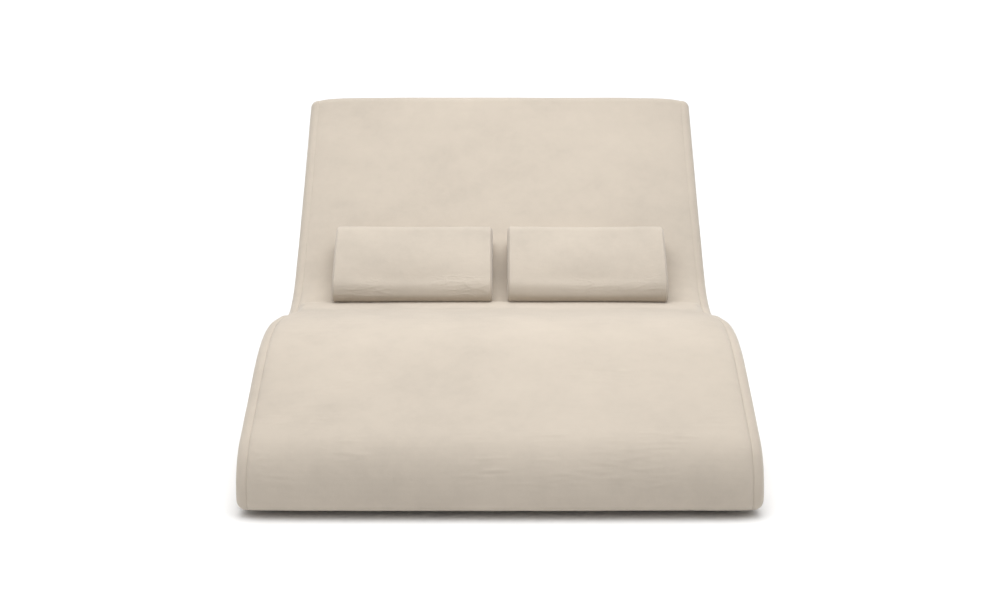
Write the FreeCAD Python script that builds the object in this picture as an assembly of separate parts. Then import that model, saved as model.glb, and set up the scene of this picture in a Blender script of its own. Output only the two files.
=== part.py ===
import FreeCAD, Part
import math
import os

# Two-person spa relaxation lounger: one upholstered wave-shaped body and two loose pillows.
# Millimetres, +Z up, X across the width, the foot end towards -Y and the backrest towards +Y.
# The origin lies on the floor under the middle of the whole lounger.
# The side view is drawn in (y, z) with y counted from the foot end, and is shifted to the origin last.

# Overall body
overall_width = 1400.0
glide_height = 14.0
base_length = 1500.0
back_thickness = 130.0

# Side view, from the foot end over the crest, through the dip and up the backrest
base_edge_radius = 35.0
nose_straight = 4.3
nose_radius = 158.7
shin_angle = 23.4
shin_run = 574.2
knee_radius = 571.0
knee_angle = -9.9
knee_run = 305.6
crest_radius = 401.0
thigh_angle = -14.7
thigh_run = 294.1
hip_radius = 317.0
lumbar_angle = 40.55
lumbar_run = 481.9
shoulder_radius = 2997.0
back_angle = 43.65
back_run = 474.0
top_front_radius = 33.0
top_rear_radius = 33.0
waist_radius = 450.0
heel_edge_radius = 35.0

# Upholstery layers, from the outside inwards
cover_thickness = 2.0
wadding_thickness = 6.0
wadding_seam_gap = 8.0
layer_gap = 0.3
foam_thickness = 45.0
deck_thickness = 5.0
roll_thickness = 37.0
board_thickness = 4.0
dust_thickness = 1.0
dust_edge_gap = 2.0
crown = 14.0
crown_fullness = 9.0
crown_steps = 8
border_width = 32.0
border_edge_radius = 28.0
wrap_hold = 30.0
roll_reach = 95.0
rear_seam_drop = 60.0

# Timber frame
rib_thickness = 18.0
rail_width = 45.0
rail_thickness = 20.0
base_rail_width = 90.0
base_rail_height = 30.0
block_leg = 50.0
block_length = 60.0
frame_screw_radius = 2.0
frame_screw_length = 50.0
frame_screw_head_radius = 4.5

# Floor glides
glide_radius = 25.0
glide_sole_radius = 21.0
glide_edge = 3.0
glide_inset = 75.0
glide_margin = 3.0
glide_bore_radius = 2.5
glide_recess_radius = 7.0
glide_recess_depth = 9.0
glide_screw_radius = 2.25
glide_screw_length = 34.0
glide_screw_head_radius = 5.0
glide_screw_head_height = 3.0

# Loose lumbar pillows
pillow_length = 530.0
pillow_height = 302.0
pillow_round = 52.0
pillow_flat = 8.0
pillow_crown = 8.0
pillow_end_share = 0.35
pillow_fullness = 3.0
pillow_steps = 2
pillow_inner_gap = 50.0
pillow_place_angle = 16.0
pillow_foot_sink = 12.0
pillow_head_sink = 6.0
pillow_cloth = 1.5
pillow_clearance = 0.3

# Pillow zips, on the rounded edge behind the top of each pillow
zip_edge_angle = 35.0
zip_end_margin = 40.0
zip_tape_width = 18.0
zip_tape_thickness = 1.2
zip_tape_proud = 0.3
zip_coil_width = 5.0
zip_coil_height = 1.6
slider_length = 12.0
slider_width = 9.0
slider_wall = 1.2
slider_clearance = 0.2

# Reach of a cutting tool past what it cuts, and the distance within which two places are one
overrun = 20.0
same_place = 0.1

half_width = overall_width / 2
seam_x = half_width - border_width
rib_outer_x = seam_x
rail_half_length = rib_outer_x - rib_thickness
skin_depth = cover_thickness + wadding_thickness
deck_depth = skin_depth + foam_thickness
frame_depth = deck_depth + deck_thickness
roll_depth = skin_depth + roll_thickness
rear_depth = skin_depth + board_thickness
frame_bottom = glide_height + skin_depth

# Side view: the straight sides of the section, in order, each with its heading in degrees
nose_turn = 90.0 - shin_angle
nose_height = (glide_height + base_edge_radius + nose_straight
               + nose_radius * math.tan(math.radians(nose_turn / 2)))
headings = {
    "base": 180.0,
    "nose": 90.0,
    "shin": shin_angle,
    "knee": knee_angle,
    "thigh": thigh_angle,
    "lumbar": lumbar_angle,
    "back": back_angle,
    "top": back_angle - 90.0,
    "rear": back_angle - 180.0,
    "heel": -90.0,
}
corner_radii = {
    ("base", "nose"): base_edge_radius,
    ("nose", "shin"): nose_radius,
    ("shin", "knee"): knee_radius,
    ("knee", "thigh"): crest_radius,
    ("thigh", "lumbar"): hip_radius,
    ("lumbar", "back"): shoulder_radius,
    ("back", "top"): top_front_radius,
    ("top", "rear"): top_rear_radius,
    ("rear", "heel"): waist_radius,
    ("heel", "base"): heel_edge_radius,
}
sides = list(headings)
crown_shares = {"base": 0.0, "top": 0.5, "rear": 0.0, "heel": 0.0}


def along(side):
    """Unit direction of a side, in (y, z)."""
    angle = math.radians(headings[side])
    return (math.cos(angle), math.sin(angle))


def inwards(side):
    """Unit direction from a side into the body, in (y, z)."""
    dy, dz = along(side)
    return (dz, -dy)


def step(point, direction, length):
    """Point moved by a length along a direction."""
    return (point[0] + direction[0] * length, point[1] + direction[1] * length)


def reference_points():
    """One point on each side of the outer section."""
    points = {"base": (0.0, glide_height), "nose": (0.0, glide_height)}
    points["shin"] = (0.0, nose_height)
    points["knee"] = step(points["shin"], along("shin"), shin_run)
    points["thigh"] = step(points["knee"], along("knee"), knee_run)
    points["lumbar"] = step(points["thigh"], along("thigh"), thigh_run)
    points["back"] = step(points["lumbar"], along("lumbar"), lumbar_run)
    points["top"] = step(points["back"], along("back"), back_run)
    points["rear"] = step(points["top"], along("top"), back_thickness)
    points["heel"] = (base_length, glide_height)
    return points


anchors = reference_points()


def crossing(side_a, side_b, depth_a, depth_b):
    """Where two sides meet after each is moved inwards by its own depth."""
    pa = step(anchors[side_a], inwards(side_a), depth_a)
    pb = step(anchors[side_b], inwards(side_b), depth_b)
    da = along(side_a)
    db = along(side_b)
    cross = da[0] * db[1] - da[1] * db[0]
    reach = ((pb[0] - pa[0]) * db[1] - (pb[1] - pa[1]) * db[0]) / cross
    return step(pa, da, reach)


def turn_between(side_a, side_b):
    """Signed turn in degrees from one side to the next; a right turn is a convex corner."""
    return (headings[side_b] - headings[side_a] + 180.0) % 360.0 - 180.0


def fillet_radius(side_a, side_b, depth_a, depth_b):
    """Radius of a corner after its sides move inwards; a convex corner tightens until it is sharp."""
    radius = corner_radii[(side_a, side_b)]
    if turn_between(side_a, side_b) < 0:
        return max(radius - max(depth_a, depth_b), 0.0)
    return radius + min(depth_a, depth_b)


def layer(front, top, rear, base):
    """Depth of every side for one layer of the body."""
    depths = {side: front for side in sides}
    depths["top"] = top
    depths["rear"] = rear
    depths["heel"] = rear
    depths["base"] = base
    return depths


def even_layer(depth):
    """A layer with the same depth on every side."""
    return layer(depth, depth, depth, depth)


def crowned(depths, rise):
    """The same layer raised outwards by the crown of its station."""
    return {side: depth - rise * crown_shares.get(side, 1.0) for side, depth in depths.items()}


def corner(side_a, side_b, depths):
    """Corner point with its radius, as (y, z, radius)."""
    point = crossing(side_a, side_b, depths[side_a], depths[side_b])
    return point + (fillet_radius(side_a, side_b, depths[side_a], depths[side_b]),)


def corners_between(first, last, depths):
    """The corners passed when going from one side to a later one."""
    run = sides[sides.index(first):sides.index(last) + 1]
    return [corner(a, b, depths) for a, b in zip(run, run[1:])]


def waist_fillet():
    """Radius of the waist, limited by the walls that also carry the top rail, rear rail and heel rail."""
    waist = crossing("rear", "heel", 0.0, 0.0)
    top = crossing("top", "rear", 0.0, 0.0)
    heel = crossing("heel", "base", 0.0, 0.0)
    rear_room = math.dist(waist, top) - roll_depth - rail_thickness - rail_width
    heel_room = math.dist(waist, heel) - skin_depth - base_rail_height - rail_width
    half_turn = math.radians(abs(turn_between("rear", "heel")) / 2)
    return min(waist_radius, min(rear_room, heel_room) / math.tan(half_turn))


corner_radii[("rear", "heel")] = waist_fillet()


def straight_span(side):
    """Start and end of the straight part of a side on the outer section."""
    index = sides.index(side)
    before = sides[index - 1]
    after = sides[(index + 1) % len(sides)]
    start = crossing(before, side, 0.0, 0.0)
    end = crossing(side, after, 0.0, 0.0)
    half_in = math.radians(abs(turn_between(before, side)) / 2)
    half_out = math.radians(abs(turn_between(side, after)) / 2)
    start = step(start, along(side), corner_radii[(before, side)] * math.tan(half_in))
    end = step(end, along(side), -corner_radii[(side, after)] * math.tan(half_out))
    return start, end


def station(side, share, depth):
    """Point on a side at a share of its straight part, moved inwards by a depth."""
    start, end = straight_span(side)
    point = (start[0] + (end[0] - start[0]) * share, start[1] + (end[1] - start[1]) * share)
    return step(point, inwards(side), depth)


def extent_shift():
    """Shift along Y that centres the whole lounger on the origin."""
    outside = crowned(even_layer(0.0), crown)
    radius = corner_radii[("top", "rear")]
    centre = crossing("top", "rear", outside["top"] + radius, outside["rear"] + radius)
    front = outside["nose"]
    rear = centre[0] + radius
    return -(front + rear) / 2


y_shift = extent_shift()


def place(point, x):
    """Section point as a point in space."""
    return FreeCAD.Vector(x, point[0] + y_shift, point[1])


def rounded_edges(points, x):
    """Edges of an open path of (y, z, radius) points in the plane at x, its corners rounded."""
    edges = []
    last = place(points[0], x)
    for before, here, after in zip(points, points[1:], points[2:]):
        if here[2] <= 0:
            target = place(here, x)
            edges.append(Part.makeLine(last, target))
            last = target
            continue
        middle = place(here, x)
        back = (place(before, x) - middle).normalize()
        ahead = (place(after, x) - middle).normalize()
        half_turn = (math.pi - back.getAngle(ahead)) / 2
        reach = here[2] * math.tan(half_turn)
        sag = here[2] / math.cos(half_turn) - here[2]
        start = middle + back * reach
        end = middle + ahead * reach
        inner = middle + (back + ahead).normalize() * sag
        edges.append(Part.makeLine(last, start))
        edges.append(Part.Arc(start, inner, end).toShape())
        last = end
    edges.append(Part.makeLine(last, place(points[-1], x)))
    return edges


def joined_wire(outer, inner, x):
    """Closed wire of an outer path and an inner path that run the same way."""
    edges = rounded_edges(outer, x)
    edges += bridge(outer[-1], inner[-1], x)
    edges += rounded_edges(inner[::-1], x)
    edges += bridge(inner[0], outer[0], x)
    return Part.Wire(edges)


def bridge(point_a, point_b, x):
    """A closing line, or nothing where the two ends already meet."""
    start = place(point_a, x)
    end = place(point_b, x)
    if start.distanceToPoint(end) < same_place:
        return []
    return [Part.makeLine(start, end)]


def outline_wire(depths, x):
    """Closed wire of the whole section at one layer."""
    start = station("base", 0.5, depths["base"])
    ring = corners_between("base", "heel", depths) + [corner("heel", "base", depths)]
    return Part.Wire(rounded_edges([start] + ring + [start], x))


def prism(wire, length):
    """Solid from a closed section wire drawn along X."""
    return Part.Face(wire).extrude(FreeCAD.Vector(length, 0, 0))


def even_shares(steps):
    """Evenly spaced shares from -1 to 1, with a number of steps on each side of zero."""
    return [count / steps for count in range(-steps, steps + 1)]


def crown_rise(x):
    """Rise of the main panel at a place across it, counted from its seams."""
    return crown * (1 - abs(x / seam_x) ** crown_fullness)


def panel_loft(section, half=seam_x):
    """Solid lofted across the body; section(x, rise) gives the wire of each station."""
    places = [half * share for share in even_shares(crown_steps)]
    return Part.makeLoft([section(x, crown_rise(x)) for x in places], True, False)


def band_section(first, last, outer, inner, start, end, inner_crowned):
    """Section function of a crowned strip between two layers, from one place to another."""
    def section(x, rise):
        outside = crowned(outer, rise)
        inside = crowned(inner, rise) if inner_crowned else inner
        outer_path = [start(outside)] + corners_between(first, last, outside) + [end(outside)]
        inner_path = [start(inside)] + corners_between(first, last, inside) + [end(inside)]
        return joined_wire(outer_path, inner_path, x)
    return section


def at_station(side, share):
    """End place of a strip at a share of a side's straight part."""
    return lambda depths: station(side, share, depths[side])


def under_nose(depths):
    """End place of the cover and wadding under the front base rail."""
    return (frame_depth + wrap_hold, glide_height + depths["base"])


def behind_top(depths):
    """End place of the cover and wadding behind the top edge."""
    point = crossing("top", "rear", 0.0, depths["rear"])
    return step(point, along("rear"), rear_seam_drop)


def under_heel(depths):
    """End place of the rear cover and wadding under the rear base rail."""
    return (base_length - heel_edge_radius - wrap_hold, glide_height + depths["base"])


cover_outside = even_layer(0.0)
cover_inside = even_layer(cover_thickness)
wadding_outside = even_layer(cover_thickness + layer_gap)
wadding_inside = even_layer(skin_depth)
foam_outside = even_layer(skin_depth + layer_gap)
deck_top = layer(deck_depth, roll_depth, skin_depth, skin_depth)
deck_underside = layer(frame_depth, roll_depth, skin_depth, skin_depth)
frame_outline = layer(frame_depth, roll_depth, rear_depth, skin_depth)


def main_cover():
    """Crowned main panel, from under the foot end to behind the top edge."""
    section = band_section("base", "rear", cover_outside, cover_inside, under_nose, behind_top, True)
    return panel_loft(section)


def main_wadding():
    """Polyester wadding under the main panel."""
    section = band_section("base", "rear", wadding_outside, wadding_inside, under_nose, behind_top, True)
    return panel_loft(section, seam_x - wadding_seam_gap)


def rear_strip(outer, inner):
    """Strip from behind the top edge down to under the rear base rail."""
    outer_path = [behind_top(outer)] + rear_corners(outer) + [under_heel(outer)]
    inner_path = [behind_top(inner)] + rear_corners(inner) + [under_heel(inner)]
    return prism(joined_wire(outer_path, inner_path, -seam_x), 2 * seam_x)


def rear_corners(depths):
    """The two lower corners at the rear of the section."""
    return [corner("rear", "heel", depths), corner("heel", "base", depths)]


def rear_cover():
    """Rear panel of the cover."""
    return rear_strip(cover_outside, cover_inside)


def rear_wadding():
    """Wadding under the rear panel."""
    return rear_strip(wadding_outside, wadding_inside)


def border_body(depth):
    """One rounded side border, the right one, filled from the seam outwards."""
    width = border_width - depth
    radius = min(border_edge_radius, border_width - cover_thickness) - depth
    solid = prism(outline_wire(even_layer(depth), seam_x), width)
    rim_x = seam_x + width
    rim = [edge for edge in solid.Edges if lies_at(edge, rim_x)]
    return solid.makeFillet(radius, rim)


def lies_at(edge, x):
    """True where a whole edge lies in the plane at x."""
    box = edge.BoundBox
    return abs(box.XMin - x) < same_place and abs(box.XMax - x) < same_place


def mirrored(solid):
    """The same piece on the other side of the lounger."""
    return solid.mirror(FreeCAD.Vector(0, 0, 0), FreeCAD.Vector(1, 0, 0))


def border_pad():
    """Foam pad of the right side border."""
    return border_body(cover_thickness)


def border_cover():
    """Cover of the right side border, open towards the seam."""
    inside = border_pad()
    throat = prism(outline_wire(even_layer(cover_thickness), seam_x - overrun), overrun)
    return border_body(0.0).cut(inside).cut(throat)


def foot_corner(depth):
    """Lower front corner of the foam or the deck, which ends at a depth above the base."""
    return crossing("base", "nose", depth, deck_top["nose"])


def leg_foam():
    """Foam pad from the foot end to the knee crest."""
    def section(x, rise):
        outside = crowned(foam_outside, rise)
        start = foot_corner(foam_outside["base"])
        outer_path = [start] + corners_between("base", "knee", outside)
        outer_path += [station("knee", 0.5, outside["knee"])]
        inner_path = [start] + corners_between("nose", "knee", deck_top) + [station("knee", 0.5, deck_depth)]
        return joined_wire(outer_path, inner_path, x)
    return panel_loft(section)


def seat_foam():
    """Foam pad from the knee crest through the hip dip to the lower back."""
    ends = (at_station("knee", 0.5), at_station("lumbar", 0.5))
    return panel_loft(band_section("knee", "lumbar", foam_outside, deck_top, *ends, False))


def roll_start(depths):
    """Place on the backrest where the top roll begins."""
    point = crossing("back", "top", depths["back"], 0.0)
    return step(point, along("back"), -roll_reach)


def back_foam():
    """Foam pad of the backrest."""
    section = band_section("lumbar", "back", foam_outside, deck_top,
                           at_station("lumbar", 0.5), roll_start, False)
    return panel_loft(section)


def top_roll():
    """Foam roll over the top edge of the backrest."""
    def section(x, rise):
        outside = crowned(foam_outside, rise)
        end = crossing("top", "rear", roll_depth, foam_outside["rear"])
        outer_path = [roll_start(outside)] + corners_between("back", "rear", outside) + [end]
        inner_path = [roll_start(deck_top), corner("back", "top", deck_top), end]
        return joined_wire(outer_path, inner_path, x)
    return panel_loft(section)


def deck_strip(outer_path, inner_path):
    """Bent plywood strip as wide as the frame."""
    return prism(joined_wire(outer_path, inner_path, -seam_x), 2 * seam_x)


def leg_deck():
    """Bent plywood from the foot end over the crest to the thigh rail."""
    top_path = [foot_corner(skin_depth)] + corners_between("nose", "thigh", deck_top)
    under_path = [crossing("base", "nose", skin_depth, frame_depth)]
    under_path += corners_between("nose", "thigh", deck_underside)
    return deck_strip(top_path + [station("thigh", 0.5, deck_depth)],
                      under_path + [station("thigh", 0.5, frame_depth)])


def back_deck():
    """Bent plywood from the thigh rail through the dip and up the backrest."""
    top_path = [station("thigh", 0.5, deck_depth)] + corners_between("thigh", "back", deck_top)
    under_path = [station("thigh", 0.5, frame_depth)] + corners_between("thigh", "back", deck_underside)
    return deck_strip(top_path + [crossing("back", "top", deck_depth, roll_depth)],
                      under_path + [crossing("back", "top", frame_depth, roll_depth)])


def rear_board():
    """Bent plywood board that closes the rear of the frame."""
    outer = even_layer(skin_depth)
    outer_path = [crossing("top", "rear", roll_depth, skin_depth)]
    outer_path += [corner("rear", "heel", outer), crossing("heel", "base", skin_depth, heel_edge_radius)]
    inner_path = [crossing("top", "rear", roll_depth, rear_depth)]
    inner_path += [corner("rear", "heel", frame_outline)]
    inner_path += [crossing("heel", "base", rear_depth, heel_edge_radius)]
    return deck_strip(outer_path, inner_path)


# Rails that lie in notches of the ribs: name, side of the section and share of its straight part
profile_rails = (
    ("shin_rail", "shin", 0.5),
    ("crest_rail", "knee", 0.5),
    ("thigh_rail", "thigh", 0.5),
    ("lumbar_rail", "lumbar", 0.5),
    ("back_rail", "back", 0.35),
    ("rear_rail", "rear", 0.72),
    ("heel_rail", "heel", 0.5),
)
base_rails = ("front_base_rail", "middle_base_rail", "rear_base_rail")


def rail_corners(middle, side):
    """The four section corners of a rail whose outer face has its middle on a side of the frame."""
    near = [step(middle, along(side), -rail_width / 2), step(middle, along(side), rail_width / 2)]
    far = [step(point, inwards(side), rail_thickness) for point in reversed(near)]
    return near + far


def top_rail_middle():
    """Middle of the outer face of the rail under the top roll."""
    front = crossing("back", "top", frame_depth, roll_depth)
    rear = crossing("top", "rear", roll_depth, rear_depth)
    return ((front[0] + rear[0]) / 2, (front[1] + rear[1]) / 2)


def base_rail_middle(name):
    """Middle of a base rail along Y, counted from the foot end."""
    places = {
        "front_base_rail": frame_depth + base_rail_width / 2,
        "middle_base_rail": base_length / 2,
        "rear_base_rail": base_length - heel_edge_radius - base_rail_width / 2,
    }
    return places[name]


def base_rail_corners(name):
    """Section corners of a base rail, which lies on the frame's bottom plane."""
    middle = base_rail_middle(name)
    low_y = middle - base_rail_width / 2
    high_y = middle + base_rail_width / 2
    top = frame_bottom + base_rail_height
    return [(low_y, frame_bottom), (low_y, top), (high_y, top), (high_y, frame_bottom)]


def rail_sections():
    """Name and section corners of every cross rail."""
    rails = {}
    for name, side, share in profile_rails:
        rails[name] = rail_corners(station(side, share, frame_outline[side]), side)
    rails["top_rail"] = rail_corners(top_rail_middle(), "top")
    for name in base_rails:
        rails[name] = base_rail_corners(name)
    return rails


def rail(points):
    """Straight cross rail between the two outer ribs."""
    start = [place(point, -rail_half_length) for point in points]
    wire = Part.makePolygon(start + start[:1])
    return prism(wire, 2 * rail_half_length)


def rib(x_low, notches):
    """Plywood rib with the section's shape; the notches are the rails that pass through it."""
    solid = prism(outline_wire(frame_outline, x_low), rib_thickness)
    for notch in notches:
        solid = solid.cut(notch)
    return solid


def section_middle(points):
    """Middle of a rail's section."""
    count = len(points)
    return (sum(point[0] for point in points) / count, sum(point[1] for point in points) / count)


def frame_screw(middle, side_sign):
    """Countersunk screw along X from an outer rib into the end of a rail."""
    start = place(middle, side_sign * rib_outer_x)
    inward = FreeCAD.Vector(-side_sign, 0, 0)
    shank = Part.makeCylinder(frame_screw_radius, frame_screw_length, start, inward)
    head_height = frame_screw_head_radius - frame_screw_radius
    head = Part.makeCone(frame_screw_head_radius, frame_screw_radius, head_height, start, inward)
    return shank.fuse(head).removeSplitter()


def frame_screws(rails):
    """One screw for each end of each rail."""
    screws = []
    for points in rails.values():
        for side_sign in (-1, 1):
            screws.append(frame_screw(section_middle(points), side_sign))
    return screws


def corner_block(name, side_sign):
    """Triangular glue block between a base rail and an outer rib."""
    start = base_rail_middle(name) - block_length / 2 + y_shift
    low = frame_bottom + base_rail_height
    wall = side_sign * rail_half_length
    leg = side_sign * block_leg
    points = [
        FreeCAD.Vector(wall, start, low),
        FreeCAD.Vector(wall - leg, start, low),
        FreeCAD.Vector(wall, start, low + block_leg),
    ]
    face = Part.Face(Part.makePolygon(points + points[:1]))
    return face.extrude(FreeCAD.Vector(0, block_length, 0))


def corner_blocks():
    """The glue blocks of the three base rails."""
    return [corner_block(name, side_sign) for name in base_rails for side_sign in (-1, 1)]


def glide_rows():
    """Row name and place along Y of the floor glides."""
    return {
        "front": base_rail_middle("front_base_rail") + base_rail_width / 2 - glide_radius - glide_margin,
        "middle": base_rail_middle("middle_base_rail"),
        "rear": base_rail_middle("rear_base_rail") - base_rail_width / 2 + glide_radius + glide_margin,
    }


def glide_columns():
    """Column name and place along X of the floor glides."""
    side = half_width - glide_inset - glide_radius
    return {"left": -side, "centre": 0.0, "right": side}


def glide(x, y):
    """Low turned glide with a rounded sole and a screw recess."""
    top = frame_bottom - dust_thickness
    foot = place((y, 0.0), x)
    up = FreeCAD.Vector(0, 0, 1)
    sole = Part.makeCone(glide_sole_radius, glide_radius, glide_edge, foot, up)
    body = Part.makeCylinder(glide_radius, top - glide_edge, foot + up * glide_edge, up)
    bore = Part.makeCylinder(glide_bore_radius, top, foot, up)
    recess = Part.makeCylinder(glide_recess_radius, glide_recess_depth, foot, up)
    return sole.fuse(body).removeSplitter().cut(bore).cut(recess)


def glide_screw(x, y):
    """Pan-head screw that holds a glide to its base rail."""
    foot = place((y, glide_recess_depth), x)
    up = FreeCAD.Vector(0, 0, 1)
    shank = Part.makeCylinder(glide_screw_radius, glide_screw_length, foot, up)
    head_start = foot - up * glide_screw_head_height
    head = Part.makeCylinder(glide_screw_head_radius, glide_screw_head_height, head_start, up)
    return shank.fuse(head).removeSplitter()


def glide_places():
    """Node name and place of every glide."""
    places = {}
    for row, y in glide_rows().items():
        for column, x in glide_columns().items():
            places["glide_" + row + "_" + column] = (x, y)
    return places


def dust_cover():
    """Non-woven sheet under the frame, with a hole for each glide screw."""
    front = frame_depth + wrap_hold + dust_edge_gap
    rear = base_length - heel_edge_radius - wrap_hold - dust_edge_gap
    side = rail_half_length + rib_thickness / 2
    corner_point = FreeCAD.Vector(-side, front + y_shift, frame_bottom - dust_thickness)
    sheet = Part.makeBox(2 * side, rear - front, dust_thickness, corner_point)
    for x, y in glide_places().values():
        start = place((y, frame_bottom - dust_thickness - overrun), x)
        hole = Part.makeCylinder(glide_bore_radius, 2 * overrun, start, FreeCAD.Vector(0, 0, 1))
        sheet = sheet.cut(hole)
    return sheet


def hip_centre():
    """Centre of the hip arc, which all layers share."""
    return crossing("thigh", "lumbar", -hip_radius, -hip_radius)


def pillow_axes():
    """Place and directions of a pillow's section: its middle, its height and its thickness direction."""
    bowl = hip_radius - crown
    reach = bowl - pillow_round
    lumbar = math.radians(lumbar_angle)
    place_angle = math.radians(pillow_place_angle)
    foot_reach = reach + pillow_foot_sink
    lean = reach + pillow_head_sink - foot_reach * math.cos(lumbar - place_angle)
    tilt = lumbar - math.asin(lean / (pillow_height - 2 * pillow_round))
    foot = step(hip_centre(), (math.sin(place_angle), -math.cos(place_angle)), foot_reach)
    up = (math.cos(tilt), math.sin(tilt))
    out = (-math.sin(tilt), math.cos(tilt))
    middle = step(step(foot, up, pillow_height / 2 - pillow_round), out, pillow_flat / 2)
    return middle, up, out


def pillow_point(height, thickness):
    """Point of the pillow's section from its own height and thickness directions."""
    middle, up, out = pillow_axes()
    return step(step(middle, up, height), out, thickness)


def pillow_wire(x, rise, inset):
    """Section of a pillow: four corner arcs, two bulging faces and two short flats."""
    radius = pillow_round - inset
    high = pillow_height / 2 - pillow_round
    wide = pillow_flat / 2
    swell = (high * high + rise * rise) / (2 * rise)
    lean = math.atan2(high, swell - rise)
    edges = []
    for turn in (1, -1):
        flat_start = place(pillow_point(turn * (high + radius), -turn * wide), x)
        flat_end = place(pillow_point(turn * (high + radius), turn * wide), x)
        edges.append(Part.makeLine(flat_start, flat_end))
        edges.append(corner_arc(high, wide, radius, 0.0, math.pi / 2 - lean, turn, x))
        face_start = arc_point(high, wide, radius, math.pi / 2 - lean, turn, x)
        face_top = place(pillow_point(0.0, turn * (wide + radius + rise)), x)
        face_end = arc_point(-high, wide, radius, math.pi / 2 + lean, turn, x)
        edges.append(Part.Arc(face_start, face_top, face_end).toShape())
        edges.append(corner_arc(-high, wide, radius, math.pi / 2 + lean, math.pi, turn, x))
    return Part.Wire(edges)


def arc_point(high, wide, radius, angle, turn, x):
    """Point on a corner circle of the pillow, the angle counted from its height direction."""
    height = turn * (high + radius * math.cos(angle))
    thickness = turn * (wide + radius * math.sin(angle))
    return place(pillow_point(height, thickness), x)


def corner_arc(high, wide, radius, start, end, turn, x):
    """Corner arc of the pillow between two angles."""
    points = [arc_point(high, wide, radius, angle, turn, x) for angle in (start, (start + end) / 2, end)]
    return Part.Arc(*points).toShape()


def pillow_loft(inset):
    """Right pillow's rounded form, with its crown falling towards both ends."""
    half = pillow_length / 2 - inset
    middle = pillow_inner_gap / 2 + pillow_length / 2
    wires = []
    for share in even_shares(pillow_steps):
        fall = (1 - pillow_end_share) * abs(share) ** pillow_fullness
        wires.append(pillow_wire(middle + half * share, pillow_crown * (1 - fall), inset))
    return Part.makeLoft(wires, True, False)


def seat_contact(clearance):
    """Crowned layer of the seat and backrest that a pillow is pressed against, grown by a clearance."""
    outer = even_layer(-clearance)
    inner = even_layer(deck_depth)
    return panel_loft(band_section("thigh", "back", outer, inner,
                                   at_station("thigh", 0.0), at_station("back", 0.5), True))


def pillow_fill():
    """Filling of the right pillow."""
    return pillow_loft(pillow_cloth).cut(seat_contact(pillow_clearance + pillow_cloth))


def pillow_shell():
    """Sewn case of the right pillow, before its end panels are parted from it."""
    outside = pillow_loft(0.0).cut(seat_contact(pillow_clearance))
    return outside.cut(pillow_fill())


def end_slab(x_low, x_high):
    """Slice of space between two planes across X, larger than a pillow."""
    reach = pillow_height + pillow_round + overrun
    middle = place(pillow_axes()[0], x_low)
    corner_point = middle - FreeCAD.Vector(0, reach, reach)
    return Part.makeBox(x_high - x_low, 2 * reach, 2 * reach, corner_point)


def pillow_slices():
    """The end slices and the middle slice of the right pillow."""
    inner_x = pillow_inner_gap / 2
    outer_x = inner_x + pillow_length
    return {
        "inner": end_slab(inner_x - overrun, inner_x + pillow_cloth),
        "wrap": end_slab(inner_x + pillow_cloth, outer_x - pillow_cloth),
        "outer": end_slab(outer_x - pillow_cloth, outer_x + overrun),
    }


def zip_frame(height, across, x):
    """Point near the zip: height above the pillow's edge and distance across the tape."""
    angle = math.radians(zip_edge_angle)
    radius = pillow_round + height
    middle_height = pillow_height / 2 - pillow_round
    up = middle_height + radius * math.cos(angle) - across * math.sin(angle)
    out = -pillow_flat / 2 - radius * math.sin(angle) - across * math.cos(angle)
    return place(pillow_point(up, out), x)


def zip_block(x_low, x_high, low, high, half):
    """Straight block along the zip between two heights and two widths."""
    points = [
        zip_frame(low, -half, x_low),
        zip_frame(high, -half, x_low),
        zip_frame(high, half, x_low),
        zip_frame(low, half, x_low),
    ]
    face = Part.Face(Part.makePolygon(points + points[:1]))
    return face.extrude(FreeCAD.Vector(x_high - x_low, 0, 0))


def zip_span():
    """Start and end of the right pillow's zip along X."""
    start = pillow_inner_gap / 2 + zip_end_margin
    end = pillow_inner_gap / 2 + pillow_length - zip_end_margin
    return start, end


def zip_bed():
    """Groove that holds the zip tape in the pillow's case."""
    start, end = zip_span()
    low = zip_tape_proud - zip_tape_thickness
    return zip_block(start, end, low, zip_tape_proud + overrun, zip_tape_width / 2)


def zip_tape():
    """Zip of the right pillow: the tape with its row of teeth."""
    start, end = zip_span()
    low = zip_tape_proud - zip_tape_thickness
    tape = zip_block(start, end, low, zip_tape_proud, zip_tape_width / 2)
    coil = zip_block(start, end, zip_tape_proud, zip_tape_proud + zip_coil_height, zip_coil_width / 2)
    return tape.fuse(coil).removeSplitter()


def zip_slider():
    """Slider of the right pillow's zip, at the closed end of its travel."""
    start = zip_span()[0]
    low = zip_tape_proud + slider_clearance
    top = zip_tape_proud + zip_coil_height + slider_clearance + slider_wall
    block = zip_block(start, start + slider_length, low, top, slider_width / 2)
    channel = zip_block(start - overrun, start + slider_length + overrun, low - slider_clearance,
                        top - slider_wall, zip_coil_width / 2 + slider_clearance)
    return block.cut(channel)


def pillow_pieces():
    """The pieces of the right pillow, by name."""
    shell = pillow_shell()
    slices = pillow_slices()
    return {
        "pillow_fill": pillow_fill(),
        "pillow_wrap": shell.common(slices["wrap"]).cut(zip_bed()),
        "pillow_inner_end": shell.common(slices["inner"]),
        "pillow_outer_end": shell.common(slices["outer"]),
        "pillow_zip": zip_tape(),
        "pillow_zip_slider": zip_slider(),
    }


def cut_all(solid, tools):
    """A solid less every tool whose box it meets."""
    for tool in tools:
        if solid.BoundBox.intersect(tool.BoundBox):
            solid = solid.cut(tool)
    return solid


def write(name, solids):
    """Write one node: a single piece or a group of separate pieces."""
    pieces = [piece for solid in solids for piece in solid.Solids]
    shape = pieces[0] if len(pieces) == 1 else Part.makeCompound(pieces)
    shape.exportStep("parts/" + name + ".step")
    print(name, len(pieces), "solids", shape.isValid())


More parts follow.
